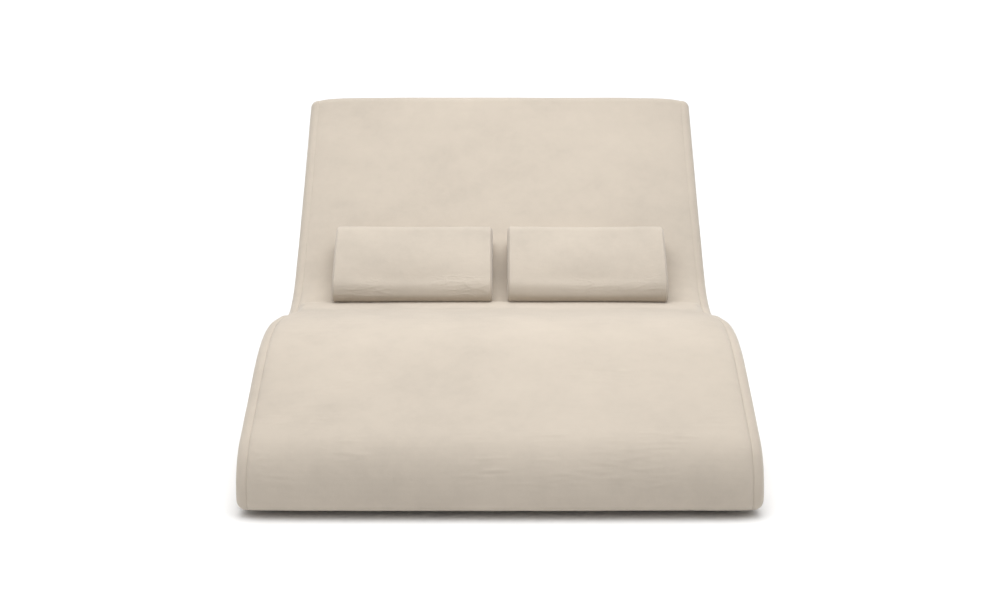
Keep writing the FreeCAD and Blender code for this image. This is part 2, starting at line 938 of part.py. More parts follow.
def write_frame():
    """Ribs, rails, blocks and screws."""
    sections = rail_sections()
    screws = frame_screws(sections)
    glide_screws = [glide_screw(x, y) for x, y in glide_places().values()]
    rails = {name: rail(points) for name, points in sections.items()}
    inner_x = rail_half_length / 2 - rib_thickness / 2
    ribs = {
        "rib_left_outer": rib(-rib_outer_x, []),
        "rib_left_inner": rib(-inner_x - rib_thickness, rails.values()),
        "rib_centre": rib(-rib_thickness / 2, rails.values()),
        "rib_right_inner": rib(inner_x, rails.values()),
        "rib_right_outer": rib(rib_outer_x - rib_thickness, []),
    }
    for name, solid in ribs.items():
        write(name, [cut_all(solid, screws + glide_screws)])
    for name, solid in rails.items():
        write(name, [cut_all(solid, screws + glide_screws)])
    write("corner_blocks", corner_blocks())
    write("frame_screws", screws)
    write("glide_screws", glide_screws)


def write_upholstery():
    """Decks, foams, wadding and covers."""
    write("leg_deck", [leg_deck()])
    write("back_deck", [back_deck()])
    write("rear_board", [rear_board()])
    write("leg_foam", [leg_foam()])
    write("seat_foam", [seat_foam()])
    write("back_foam", [back_foam()])
    write("top_roll_foam", [top_roll()])
    write("border_foam_right", [border_pad()])
    write("border_foam_left", [mirrored(border_pad())])
    write("main_wadding", [main_wadding()])
    write("rear_wadding", [rear_wadding()])
    write("main_cover", [main_cover()])
    write("rear_cover", [rear_cover()])
    write("border_cover_right", [border_cover()])
    write("border_cover_left", [mirrored(border_cover())])
    write("dust_cover", [dust_cover()])


def write_glides():
    """The floor glides, one node each."""
    for name, (x, y) in glide_places().items():
        write(name, [glide(x, y)])


def write_pillows():
    """Both loose pillows."""
    for name, solid in pillow_pieces().items():
        write("right_" + name, [solid])
        write("left_" + name, [mirrored(solid)])


os.makedirs("parts", exist_ok=True)
write_frame()
write_upholstery()
write_glides()
write_pillows()
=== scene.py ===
import math

import bmesh
import bpy
import numpy as np
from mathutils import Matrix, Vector, noise
from mathutils.bvhtree import BVHTree
from mathutils.geometry import delaunay_2d_cdt


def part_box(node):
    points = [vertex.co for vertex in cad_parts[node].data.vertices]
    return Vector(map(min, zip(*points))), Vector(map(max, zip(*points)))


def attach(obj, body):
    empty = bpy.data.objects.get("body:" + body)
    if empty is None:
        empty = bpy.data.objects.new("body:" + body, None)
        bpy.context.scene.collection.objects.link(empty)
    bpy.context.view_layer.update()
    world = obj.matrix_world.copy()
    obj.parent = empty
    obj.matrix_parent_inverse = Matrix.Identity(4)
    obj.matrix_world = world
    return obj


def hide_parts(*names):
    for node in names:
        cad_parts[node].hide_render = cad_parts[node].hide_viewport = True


# Dressed model of the two-person relaxation lounger: velvet cover, borders, pillows, zips and glides.
# Metres, in the frame's own axes: X across, Y from the foot end to the backrest, Z up.

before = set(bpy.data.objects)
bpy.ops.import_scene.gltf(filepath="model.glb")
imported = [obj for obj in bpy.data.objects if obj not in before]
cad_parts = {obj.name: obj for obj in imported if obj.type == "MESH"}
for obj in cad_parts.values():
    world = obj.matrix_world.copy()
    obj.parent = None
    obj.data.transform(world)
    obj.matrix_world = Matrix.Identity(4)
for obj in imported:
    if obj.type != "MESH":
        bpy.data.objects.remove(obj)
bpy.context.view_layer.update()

# Camera, at the viewing angle of the reference picture
camera_place = (0.0, -4.5074, 1.533)
camera_tilt = math.radians(75.204)
camera_lens = 52.2
camera_sensor = 36.0
camera_reach = 200.0

# Cover of the body
cover_thickness = 0.002
outline_spacing = 0.002
tangent_window = 4
panel_columns = 53
widest_step = 0.008
nose_step = 0.004
lip_step = 0.003
rear_step = 1.5 * widest_step
border_step = 0.8 * widest_step
largest_turn = math.radians(4.5)
smallest_share = 8
nose_length = 0.60
nose_fine_length = 0.55
nose_crown_fall = 3.0
top_turn = 0.12
back_probe = 0.15
edge_rise = 0.0086
edge_reach = 0.012
crown_rise = 0.0054
crown_reach = 0.150
rear_rise = 0.0030
rear_fade = 0.03
heel_fade = (0.75, 0.98)
lip_place = 0.118
lip_rise = 0.0095
lip_run = 0.24
lip_fall = 0.032
tuck_place = 0.046
tuck_depth = 0.0040
tuck_width = 0.020
lip_side_fade = (0.001, 0.026)
lip_fine_reach = (0.03, 0.08)
back_fade = 0.25
back_edge_reach = 0.030
back_seam_share = 0.3
wadding_inset = 0.0045
wadding_thickness = 0.0050
wadding_edge = 0.010
seam_depth = 0.0009
seam_reach = 0.0024
pucker_height = 0.0006
pucker_reach = 0.022
pucker_pitch = 0.035
pucker_start = 0.004
calm_edge = 0.03

# Side borders
border_flat = 0.004
border_radius = 0.028
border_arc_steps = 12
border_tuck = (0.0, 0.0008, 0.0018, 0.0030)
border_calm_edge = 0.012
border_evenness = 0.6
side_grid = 0.018

# Soft unevenness of upholstered surfaces
swell_height = 0.0012
swell_pitch = 0.30
ripple_height = 0.0004
ripple_pitch = 0.07
crease_height = 0.0018
crease_length = 0.060
crease_pitch = 0.009
crease_band = 0.16
fine_crease_share = 0.7
patch_pitch = (0.16, 0.09, 0.09)
patch_range = (-0.15, 0.35)
crushed_length = 0.62
crushed_nose = (0.05, 0.35, 0.85, 0.95)
crushed_legs = (0.8, 0.95)
crushed_legs_share = 0.22

# Pillows
pillow_slices = 24
pillow_slice_margin = 0.0015
pillow_ring_points = 150
pillow_rows = 92
pillow_end_rings = 11
pillow_end_power = 1.7
pillow_end_line = 0.62
pillow_taper = 0.022
pillow_taper_top = 0.9
pillow_taper_facing = 0.3
pillow_end_bulge = 0.0065
pillow_bulge_reach = 0.005
pillow_cap = 0.008
pillow_pressure = 4.0
pillow_frames = 20
pillow_free_rows = (-1.0, 4.0)
pillow_gap = 0.0010
pillow_search = 0.05
pillow_calm_edge = 0.02
pillow_lower_front = (0.1, 0.5)
pillow_marks_start = (0.02, 0.12)
pillow_marks_end = (0.34, 0.5)
pillow_fine_steps = 3
pillow_edge_steps = (0.0, 0.05, 0.1, 0.16, 0.23, 0.32, 0.42, 0.54, 0.68, 0.84)
pillow_seam_depth = 0.0022
pillow_seam_reach = 0.0013
pillow_crease_height = 0.0009
pillow_evening = 10
pillow_rounding = 14
pillow_height_change = 0.25
foot_fill = 0.007
corner_fill = 0.003
corner_sharpness = 2.0
filling_inset = 0.008
filling_step = (3, 2)

# Zips
zip_hold_near = 0.016
zip_hold_far = 0.050
zip_case_depth = 0.0003
zip_coil_half = 0.0025
zip_tape_rise = 0.0006
tooth_pitch = 0.0016
tooth_length = 0.0009
tooth_proud = 0.00007
tooth_height = 5 * tooth_proud
tooth_sink = 1.5 * tooth_proud
tooth_width = 1.3 * zip_coil_half
tooth_offset = 0.25 * zip_coil_half
stitch_pitch = 0.0042
stitch_length = 0.0028
stitch_width = 0.0005
stitch_inset = 0.0022

# Lining under the body
dust_thickness = 0.0008
dust_sag = 0.004
dust_free_length = 0.2
dust_grid = (61, 81)
dust_crease = 0.0003
dust_waves = (6, 20)
dust_edge = 0.05

# Colours, as light reflected
velvet_colour = (0.512, 0.452, 0.381)
pillow_colour = (0.505, 0.447, 0.378)
floor_colour = (0.93, 0.93, 0.93)
floor_half = 40.0

# Light
ceiling_light = 3.74
ceiling_focus = 6.0
wall_light = 0.18
side_light = 0.36
backdrop_white = 1.05
plain_white = (1.0, 1.0, 1.0, 1.0)
softbox_place = (0.0, -0.22, 2.0)
softbox_size = 1.3
softbox_power = 12.6


def unit(vectors):
    """The same directions with length one."""
    return vectors / np.linalg.norm(vectors, axis=-1, keepdims=True)


def smooth_noise(places, pitch, seed=0.0):
    """Even noise from -1 to 1 at each place; pitch is the size of its waves along each axis."""
    scaled = np.asarray(places) / np.asarray(pitch)
    return np.array([noise.noise(Vector((x + seed, y - seed, z + 2 * seed))) for x, y, z in scaled])


def creases(places, pitch, seed=0.0):
    """Thin raised lines, from 0 to 1, where a stretched noise crosses zero."""
    level = np.abs(smooth_noise(places, pitch, seed))
    return np.clip(1.0 - level / crease_band, 0.0, 1.0) ** 2


def fade(values, start, end):
    """Smooth step from 0 at start to 1 at end."""
    share = np.clip((values - start) / (end - start), 0.0, 1.0)
    return share * share * (3.0 - 2.0 * share)


def cut_loops(node, x):
    """Closed outlines of a CAD node in the plane at x, each an array of (y, z) points in order."""
    mesh = bmesh.new()
    mesh.from_mesh(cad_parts[node].data)
    bmesh.ops.remove_doubles(mesh, verts=mesh.verts, dist=2e-6)
    everything = mesh.verts[:] + mesh.edges[:] + mesh.faces[:]
    bmesh.ops.bisect_plane(mesh, geom=everything, plane_co=(x, 0, 0), plane_no=(1, 0, 0),
                           dist=1e-7, clear_inner=True, clear_outer=True)
    bmesh.ops.remove_doubles(mesh, verts=mesh.verts, dist=2e-6)
    loops = []
    # A dictionary keeps its order, so each loop starts at the same corner in every run
    left = dict.fromkeys(mesh.verts)
    while left:
        here = left.popitem()[0]
        loop = [here]
        while True:
            ahead = [edge.other_vert(here) for edge in here.link_edges if edge.other_vert(here) in left]
            if not ahead:
                break
            here = ahead[0]
            del left[here]
            loop.append(here)
        loops.append(np.array([(vert.co.y, vert.co.z) for vert in loop]))
    mesh.free()
    return loops


def longest_loop(node, x):
    """The longest outline of a node in the plane at x."""
    def length(loop):
        return np.linalg.norm(loop - np.roll(loop, 1, 0), axis=1).sum()

    return max(cut_loops(node, x), key=length)


def clockwise(points):
    """The loop turned so that +Y lies right, +Z up and it runs clockwise."""
    y, z = points.T
    area = np.sum(y * np.roll(z, -1) - np.roll(y, -1) * z)
    return points[::-1] if area > 0 else points


class Outline:
    """Smooth closed outline in the (y, z) plane, measured along its length."""

    def __init__(self, corners):
        corners = clockwise(corners)
        after = np.roll(corners, -1, 0)
        heading = unit(after - np.roll(corners, 1, 0))
        fine = []
        for start, end, out, into in zip(corners, after, heading, np.roll(heading, -1, 0)):
            chord = np.linalg.norm(end - start)
            t = np.linspace(0.0, 1.0, max(2, int(chord / outline_spacing) + 1), endpoint=False)[:, None]
            fine.append((2 * t**3 - 3 * t**2 + 1) * start + (t**3 - 2 * t**2 + t) * chord * out
                        + (3 * t**2 - 2 * t**3) * end + (t**3 - t**2) * chord * into)
        fine = np.concatenate(fine)
        lengths = np.linalg.norm(np.roll(fine, -1, 0) - fine, axis=1)
        along = np.concatenate(([0.0], np.cumsum(lengths)))
        self.length = along[-1]
        count = int(self.length / outline_spacing)
        even = np.linspace(0.0, self.length, count, endpoint=False)
        closed = np.concatenate((fine, fine[:1]))
        self.points = np.stack([np.interp(even, along, closed[:, k]) for k in (0, 1)], axis=1)
        self.s = even
        tangents = unit(np.roll(self.points, -1, 0) - np.roll(self.points, 1, 0))
        smooth = sum(np.roll(tangents, shift, 0) for shift in range(-tangent_window, tangent_window + 1))
        smooth = unit(smooth)
        self.normals = np.stack((-smooth[:, 1], smooth[:, 0]), axis=1)

    def sample(self, values, s):
        """Values of the outline's own points, read at places along it."""
        s = np.mod(s, self.length)
        around = np.concatenate((self.s, [self.length]))
        wrapped = np.concatenate((values, values[:1]))
        return np.stack([np.interp(s, around, wrapped[:, k]) for k in (0, 1)], axis=-1)

    def at(self, s):
        """Points and outward normals at places along the outline."""
        return self.sample(self.points, s), unit(self.sample(self.normals, s))

    def nearest(self, y, z):
        """Place along the outline that is nearest to a point."""
        return self.s[np.argmin(np.hypot(self.points[:, 0] - y, self.points[:, 1] - z))]

    def places(self, start, end, widest):
        """Places from start to end, no further apart than widest or than the largest turn allows."""
        found = [start]
        while found[-1] < end - 1e-6:
            step = widest
            while step > widest / smallest_share:
                a, b = self.at(np.array([found[-1], min(found[-1] + step, end)]))[1]
                if math.acos(max(-1.0, min(1.0, float(a @ b)))) <= largest_turn:
                    break
                step *= 0.7
            found.append(min(found[-1] + step, end))
        return np.array(found)


# Section of the body, and the places of its seams and its lip along the section
seam_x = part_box("border_cover_right")[0].x
body = Outline(longest_loop("border_cover_right", seam_x + 0.001))
dust_low, dust_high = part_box("dust_cover")
rear_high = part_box("rear_cover")[1]
base_z = float(body.points[:, 1].min())
s_front = body.nearest(dust_low.y, base_z)
s_rear_seam = body.nearest(rear_high.y, rear_high.z)
s_heel = body.nearest(dust_high.y, base_z)
s_top = body.nearest(*body.points[np.argmax(body.points[:, 1])])
upper = body.points[:, 1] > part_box("front_base_rail")[1].z
s_lip = float(body.s[upper][np.argmin(np.abs(body.points[upper, 0] - lip_place))])


def unrolled(s):
    """Places counted on from the front seam, so that they grow along the main panel."""
    return s_front + np.mod(s - s_front, body.length)


s_rear_seam = float(unrolled(s_rear_seam))
s_heel = float(unrolled(s_heel))
s_top = float(unrolled(s_top))
s_lip = float(unrolled(s_lip))
back_normal = body.at(np.array([s_top - back_probe]))[1][0]
top_normal = np.array((back_normal[1], -back_normal[0]))


def crown_share(s, normals):
    """How much of the crown shows at places along the main panel: none under the foot end or behind."""
    back_part = normals @ back_normal
    top_part = np.clip(normals @ top_normal, 0.0, 1.0)
    over_top = np.where(back_part > 0, 0.5 + 0.5 * back_part, 0.5 * top_part)
    under_nose = np.clip(-normals[..., 0], 0.0, 1.0) ** nose_crown_fall
    share = np.where(s > s_top - top_turn, over_top, 1.0)
    return np.where((s < s_front + nose_length) & (normals[..., 1] < 0), under_nose, share)


def back_share(s):
    """0 along the seat and legs, 1 up the backrest, where the seams lie softer."""
    return fade(unrolled(s), s_lip, s_lip + back_fade)


def edge_profile(distance):
    """Height of a sewn panel's edge over its distance from the seam."""
    return -seam_depth * np.exp(-distance / seam_reach)


def puckers(places, distance, seed):
    """Small gathers that run into a seam and fade away from it."""
    pitch = (1.0, pucker_pitch, pucker_pitch)
    return pucker_height * np.exp(-distance / pucker_reach) * smooth_noise(places, pitch, seed)


def unevenness(places, seed):
    """Soft swelling and rippling of cloth over foam."""
    swell = swell_height * smooth_noise(places, (swell_pitch,) * 3, seed)
    return swell + ripple_height * smooth_noise(places, (ripple_pitch,) * 3, seed + 5.0)


def crush_marks(places, seed):
    """Short raised creases that lie across the body, in loose patches."""
    fine = creases(places, (crease_length, crease_pitch, crease_pitch), seed)
    broad = creases(places, (1.6 * crease_length, 2.2 * crease_pitch, 2.2 * crease_pitch), seed + 9.0)
    patches = fade(smooth_noise(places, patch_pitch, seed + 3.0), *patch_range)
    return crease_height * (fine_crease_share * fine + broad) * patches


def placed(name, mesh, material, body_name):
    """New object of a mesh, riding on a body."""
    mesh.materials.append(material)
    piece = bpy.data.objects.new(name, mesh)
    bpy.context.collection.objects.link(piece)
    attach(piece, body_name)
    return piece


def add_mesh(name, points, faces, material, body_name):
    """New smooth object from points and faces, riding on a body."""
    mesh = bpy.data.meshes.new(name)
    mesh.from_pydata([tuple(point) for point in points], [], faces)
    mesh.validate()
    mesh.polygons.foreach_set("use_smooth", [True] * len(mesh.polygons))
    return placed(name, mesh, material, body_name)


def grid_faces(rows, columns, closed_rows=False):
    """Quads of a grid whose points run row by row; they face outwards on the body."""
    faces = []
    for i in range(rows if closed_rows else rows - 1):
        for j in range(columns - 1):
            a = i * columns + j
            b = ((i + 1) % rows) * columns + j
            faces.append((a, a + 1, b + 1, b))
    return faces


def thicken(piece, thickness):
    """Gives a cloth shell its thickness, inwards."""
    shell = piece.modifiers.new("thickness", "SOLIDIFY")
    shell.thickness = thickness
    shell.offset = -1.0
    bpy.context.view_layer.objects.active = piece
    with bpy.context.temp_override(object=piece, active_object=piece):
        bpy.ops.object.modifier_apply(modifier=shell.name)


def panel_points(s, x, height):
    """Points of a panel at places s along the outline and x across, raised by a height at each."""
    points, normals = body.at(s)
    lifted = points[:, None, :] + normals[:, None, :] * height[..., None]
    across = np.broadcast_to(x, height.shape)
    return np.concatenate((across[..., None], lifted), axis=-1)


def panel_x():
    """Places across a panel, close together beside its seams."""
    return seam_x * np.sin(np.linspace(-math.pi / 2, math.pi / 2, 2 * panel_columns + 1))


def nose_share(s):
    """Where the cover is crushed: over the foot end and, less, along the legs."""
    normals = body.at(s)[1]
    front = (s < s_front + crushed_length) & (normals[:, 0] < 0.05)
    bow = fade(normals[:, 1], *crushed_nose[:2]) * (1.0 - fade(normals[:, 1], *crushed_nose[2:]))
    return np.where(front, bow, 0.0) + crushed_legs_share * fade(normals[:, 1], *crushed_legs)


def dip_lip(s):
    """Rise of the seat towards its rear lip, and the shallow tuck behind the lip."""
    rise = fade(s, s_lip - lip_run, s_lip) * (1.0 - fade(s, s_lip + 0.1 * lip_fall, s_lip + 1.1 * lip_fall))
    tuck = np.exp(-((s - s_lip - tuck_place) / tuck_width) ** 2)
    return lip_rise * rise - tuck_depth * tuck


def panel_places(start, end):
    """Places along the main panel, close together over the foot end and at the lip of the dip."""
    marks = [start, s_front + nose_fine_length, s_lip - lip_fine_reach[0], s_lip + lip_fine_reach[1], end]
    steps = [nose_step, widest_step, lip_step, widest_step]
    parts = [body.places(a, b, step)[:-1] for a, b, step in zip(marks, marks[1:], steps)]
    return np.concatenate(parts + [[end]])


def panel_rise(s, distance):
    """Height of the main panel over the section, at places along it and distances from its seams."""
    reach = edge_reach + (back_edge_reach - edge_reach) * back_share(s)
    edge = edge_rise * (1 - np.exp(-distance[None, :] / reach[:, None]))
    rise = edge + crown_rise * (1 - np.exp(-distance / crown_reach))[None, :]
    across = fade(distance, *lip_side_fade)
    return crown_share(s, body.at(s)[1])[:, None] * rise + dip_lip(s)[:, None] * across[None, :]


def seam_gathers(flat, distance, seed):
    """Puckers beside a panel's side seams, on its grid of points."""
    wide = np.broadcast_to(distance, flat.shape[:2])
    gathers = puckers(flat.reshape(-1, 3), wide.ravel(), seed).reshape(wide.shape)
    return gathers * fade(wide, 0.0, pucker_start)


def main_cover(material):
    """Crowned main panel of velvet, from under the foot end to behind the top edge."""
    s = panel_places(s_front, s_rear_seam)
    x = panel_x()
    flat = panel_points(s, x, np.zeros((len(s), len(x))))
    distance = seam_x - np.abs(x)
    height = panel_rise(s, distance)
    soft = 1.0 - (1.0 - back_seam_share) * back_share(s)[:, None]
    height = height + edge_profile(distance)[None, :] * soft + edge_profile(s_rear_seam - s)[:, None]
    places = flat.reshape(-1, 3)
    calm = fade(distance, 0.0, calm_edge)[None, :]
    swells = unevenness(places, 1.0).reshape(height.shape) * calm
    marks = crush_marks(places, 2.0).reshape(height.shape) * nose_share(s)[:, None] * calm
    points = panel_points(s, x, height + swells + marks + seam_gathers(flat, distance, 4.0))
    piece = add_mesh("main_panel", points.reshape(-1, 3), grid_faces(len(s), len(x)), material,
                     "lounger")
    thicken(piece, cover_thickness)
    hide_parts("main_cover")
    return points


def wadding_layer(material):
    """Wadding that follows the main panel from inside."""
    s = panel_places(s_front + wadding_edge, s_rear_seam - wadding_edge)
    x = panel_x() * (seam_x - wadding_edge) / seam_x
    height = panel_rise(s, seam_x - np.abs(x)) - wadding_inset
    points = panel_points(s, x, height)
    piece = add_mesh("main_wadding_layer", points.reshape(-1, 3), grid_faces(len(s), len(x)), material,
                     "lounger")
    thicken(piece, wadding_thickness)
    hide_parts("main_wadding")


def rear_cover(material):
    """Rear panel of velvet, from behind the top edge to under the heel."""
    s = body.places(s_rear_seam, s_heel, rear_step)
    x = panel_x()
    flat = panel_points(s, x, np.zeros((len(s), len(x))))
    distance = seam_x - np.abs(x)
    rise = rear_rise * (1 - np.exp(-distance / edge_reach))
    from_seam = fade(s - s_rear_seam, 0.0, rear_fade)
    ends = from_seam * (1 - fade(-body.at(s)[1][:, 1], *heel_fade))
    height = ends[:, None] * rise[None, :] + edge_profile(distance)[None, :]
    height = height + edge_profile(s - s_rear_seam)[:, None]
    calm = fade(distance, 0.0, calm_edge)[None, :] * from_seam[:, None]
    swells = unevenness(flat.reshape(-1, 3), 11.0).reshape(height.shape) * calm
    points = panel_points(s, x, height + swells + seam_gathers(flat, distance, 14.0))
    piece = add_mesh("rear_panel", points.reshape(-1, 3), grid_faces(len(s), len(x)), material,
                     "lounger")
    thicken(piece, cover_thickness)
    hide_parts("rear_cover")


def border_section():
    """Cross-section of a border from its seam to its side plane: distance outwards and depth."""
    section = [(reach, 0.0) for reach in (*border_tuck, border_flat)]
    for angle in np.linspace(0.0, math.pi / 2, border_arc_steps + 1)[1:]:
        out, depth = math.sin(angle), 1 - math.cos(angle)
        section.append((border_flat + border_radius * out, border_radius * depth))
    return np.array(section)


def side_fill(ring):
    """Points and triangles that fill the flat side inside a ring of (y, z) points."""
    low, high = ring.min(0), ring.max(0)
    inside = []
    closed = np.concatenate((ring, ring[:1]))
    for y in np.arange(low[0] + side_grid, high[0], side_grid):
        for z in np.arange(low[1] + side_grid / 2, high[1], side_grid):
            if is_inside(closed, y, z) and np.hypot(ring[:, 0] - y, ring[:, 1] - z).min() > side_grid / 2:
                inside.append((y, z))
    points = [Vector(point) for point in ring] + [Vector(point) for point in inside]
    edges = [(k, (k + 1) % len(ring)) for k in range(len(ring))]
    made = delaunay_2d_cdt(points, edges, [list(range(len(ring)))], 1, 1e-7)
    return np.array([(point.x, point.y) for point in made[0]]), made[2], made[3]


def is_inside(closed, y, z):
    """True if a point lies inside a closed loop."""
    y0, z0 = closed[:-1].T
    y1, z1 = closed[1:].T
    crosses = (z0 > z) != (z1 > z)
    reach = y0 + (z - z0) / np.where(z1 == z0, 1.0, z1 - z0) * (y1 - y0)
    return bool(np.sum(crosses & (y < reach)) % 2)


def border_grid(side, section):
    """Points of a border's rounded part, ring by ring from its seam to its side plane."""
    s = body.places(0.0, body.length, border_step)[:-1]
    points, normals = body.at(s)
    lifted = points[:, None, :] - normals[:, None, :] * section[None, :, 1, None]
    across = np.broadcast_to(seam_x + section[:, 0], lifted.shape[:2])
    grid = np.concatenate((across[..., None], lifted), axis=-1)
    arc = np.clip((section[:, 0] - border_flat) / border_radius, 0.0, 1.0)
    outward = np.zeros_like(grid)
    outward[..., 0] = arc[None, :]
    outward[..., 1:] = normals[:, None, :] * np.sqrt(1 - arc**2)[None, :, None]
    flat = grid.reshape(-1, 3)
    distance = np.broadcast_to(section[:, 0], grid.shape[:2])
    soft = 1.0 - (1.0 - back_seam_share) * back_share(s)[:, None]
    height = edge_profile(distance) * soft
    swells = unevenness(flat, 20.0 + side).reshape(distance.shape)
    height = height + swells * fade(distance, 0.0, border_calm_edge) * border_evenness
    height = height + seam_gathers(grid, distance, 24.0 + side)
    return grid + outward * height[..., None]


def border_cover(side, material):
    """Side border of velvet with its flat side; side is 1 at the right, -1 at the left."""
    section = border_section()
    grid = border_grid(side, section)
    faces = grid_faces(*grid.shape[:2], closed_rows=True)
    rim = grid.shape[1] - 1
    ring = grid[:, rim, 1:]
    fill, triangles, origins = side_fill(ring)
    first = grid.shape[0] * grid.shape[1]
    index = {}
    extra = []
    for k, source in enumerate(origins):
        on_ring = [i for i in source if i < len(ring)]
        if on_ring:
            index[k] = on_ring[0] * grid.shape[1] + rim
        else:
            index[k] = first + len(extra)
            extra.append((seam_x + section[-1, 0], *fill[k]))
    extra = np.array(extra)
    extra[:, 0] += unevenness(extra, 20.0 + side) * border_evenness
    vertices = np.concatenate((grid.reshape(-1, 3), extra))
    faces += [tuple(index[i] for i in triangle) for triangle in triangles]
    vertices[:, 0] *= side
    hand = "right" if side > 0 else "left"
    piece = add_mesh("border_" + hand, vertices, faces, material, "lounger")
    face_outwards(piece)
    thicken(piece, cover_thickness)
    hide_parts("border_cover_" + hand)


def face_outwards(piece):
    """Turns the faces of a closed or cap-like shell outwards."""
    mesh = bmesh.new()
    mesh.from_mesh(piece.data)
    bmesh.ops.recalc_face_normals(mesh, faces=mesh.faces)
    mean = sum((face.normal.x * face.calc_center_median().x * face.calc_area() for face in mesh.faces))
    if mean < 0:
        bmesh.ops.reverse_faces(mesh, faces=mesh.faces)
    mesh.to_mesh(piece.data)
    mesh.free()


def resampled(loop, count):
    """A loop as evenly spaced points that start at its highest point and run clockwise."""
    loop = clockwise(loop)
    loop = np.roll(loop, -int(np.argmax(loop[:, 1])), 0)
    closed = np.concatenate((loop, loop[:1]))
    along = np.concatenate(([0.0], np.cumsum(np.linalg.norm(np.diff(closed, axis=0), axis=1))))
    even = np.linspace(0.0, along[-1], count, endpoint=False)
    return np.stack([np.interp(even, along, closed[:, k]) for k in (0, 1)], axis=1)


def loop_normals(loop):
    """Outward normals of a clockwise loop."""
    tangents = unit(np.roll(loop, -1, 0) - np.roll(loop, 1, 0))
    return np.stack((-tangents[:, 1], tangents[:, 0]), axis=1)


def pillow_form(side):
    """Points of one pillow as rows of rings from seam to seam, and the rows' x places."""
    name = ("right" if side > 0 else "left") + "_pillow_wrap"
    low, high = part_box(name)
    cuts = np.linspace(low.x + pillow_slice_margin, high.x - pillow_slice_margin, pillow_slices)
    rings = np.array([resampled(longest_loop(name, x), pillow_ring_points) for x in cuts])
    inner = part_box(name.replace("wrap", "inner_end"))
    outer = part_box(name.replace("wrap", "outer_end"))
    ends = sorted([inner[0].x, inner[1].x, outer[0].x, outer[1].x])
    x = np.linspace(ends[0] + pillow_end_bulge, ends[-1] - pillow_end_bulge, pillow_rows)
    rows = np.empty((pillow_rows, pillow_ring_points, 2))
    for k in range(pillow_ring_points):
        for axis in (0, 1):
            rows[:, k, axis] = np.interp(x, cuts, rings[:, k, axis])
    return rows, x


def ring_faces(rows, n, first=0):
    """Quads between closed rings of n points that follow each other."""
    faces = []
    for i in range(rows - 1):
        for k in range(n):
            a, b = first + i * n + k, first + i * n + (k + 1) % n
            faces.append((a, b, b + n, a + n))
    return faces


def with_ends(grid, bulge):
    """Points and faces of a closed form: rings of points and two end panels that bulge outwards."""
    rows, n = grid.shape[:2]
    points = [grid.reshape(-1, 3)]
    faces = ring_faces(rows, n)
    count = rows * n
    for row, outward in ((0, -1.0), (rows - 1, 1.0)):
        ring = grid[row]
        axis_line = end_axis(ring[:, 1:])
        start = row * n
        for step in range(1, pillow_end_rings):
            share = (step / pillow_end_rings) ** pillow_end_power
            drawn = ring.copy()
            drawn[:, 1:] += (axis_line - ring[:, 1:]) * share
            inwards = np.linalg.norm(drawn - ring, axis=1)
            drawn[:, 0] += outward * bulge * (1.0 - np.exp(-inwards / pillow_bulge_reach))
            points.append(drawn)
            for k in range(n):
                faces.append((start + k, count + k, count + (k + 1) % n, start + (k + 1) % n))
            start = count
            count += n
        faces.append(tuple(range(start, start + n)))
    return np.concatenate(points), faces


def pillow_start(rows, x):
    """Starting rings of a pillow for the simulation, with the front drawn back towards the foot."""
    up, front = pillow_axes(rows)
    grid = np.empty(rows.shape[:2] + (3,))
    for i, row in enumerate(rows):
        height = (row - row.mean(0)) @ up
        height = height / np.abs(height).max()
        drawn = np.clip((pillow_taper_top - height) / (pillow_taper_top + 1.0), 0.0, 1.0) ** 2
        facing = np.clip(loop_normals(row) @ front + pillow_taper_facing, 0.0, 1.0)
        grid[i, :, 0] = x[i]
        grid[i, :, 1:] = row - (pillow_taper * drawn * facing)[:, None] * front
    return grid


def pillow_axes(form):
    """Directions in (y, z) of a pillow's height and of its front face."""
    middle = form[len(form) // 2]
    up = np.linalg.svd(middle - middle.mean(0), full_matrices=False)[2][0]
    up = up * np.sign(up[1])
    return up, np.array((-up[1], up[0]))


def end_axis(ring):
    """For each point of an end's ring, the point of the end's middle line towards which it is drawn."""
    middle = ring.mean(0)
    spread = ring - middle
    direction = np.linalg.svd(spread, full_matrices=False)[2][0]
    reach = spread @ direction
    half = np.abs(reach).max() * pillow_end_line
    return middle + np.clip(reach, -half, half)[:, None] * direction


def inflate(piece, seams, start):
    """Fills a pillow by a short cloth simulation with its end seams held, then limits how far it moved."""
    group = piece.vertex_groups.new(name="seams")
    group.add(seams, 1.0, "REPLACE")
    cloth = piece.modifiers.new("fill", "CLOTH")
    settings = cloth.settings
    settings.quality = 6
    settings.mass = 0.25
    settings.use_pressure = True
    settings.uniform_pressure_force = pillow_pressure
    settings.tension_stiffness = 30.0
    settings.compression_stiffness = 30.0
    settings.shear_stiffness = 10.0
    settings.bending_stiffness = 2.0
    settings.vertex_group_mass = "seams"
    settings.shrink_min = 0.0
    settings.effector_weights.gravity = 0.0
    cloth.point_cache.frame_start = 1
    cloth.point_cache.frame_end = pillow_frames
    scene = bpy.context.scene
    for number in range(1, pillow_frames + 1):
        scene.frame_set(number)
    depsgraph = bpy.context.evaluated_depsgraph_get()
    moved = piece.evaluated_get(depsgraph).data
    after = np.empty(len(start) * 3)
    moved.vertices.foreach_get("co", after)
    piece.modifiers.remove(cloth)
    piece.vertex_groups.clear()
    scene.frame_set(1)
    shift = after.reshape(-1, 3) - start
    largest = np.linalg.norm(shift, axis=1).max()
    return start + shift * min(1.0, pillow_cap / max(largest, 1e-9))


def seat_tree(grid):
    """Search tree of the main panel's outer surface, which the pillows lie on."""
    rows, columns = grid.shape[:2]
    verts = [Vector(point) for point in grid.reshape(-1, 3)]
    return BVHTree.FromPolygons(verts, grid_faces(rows, columns))


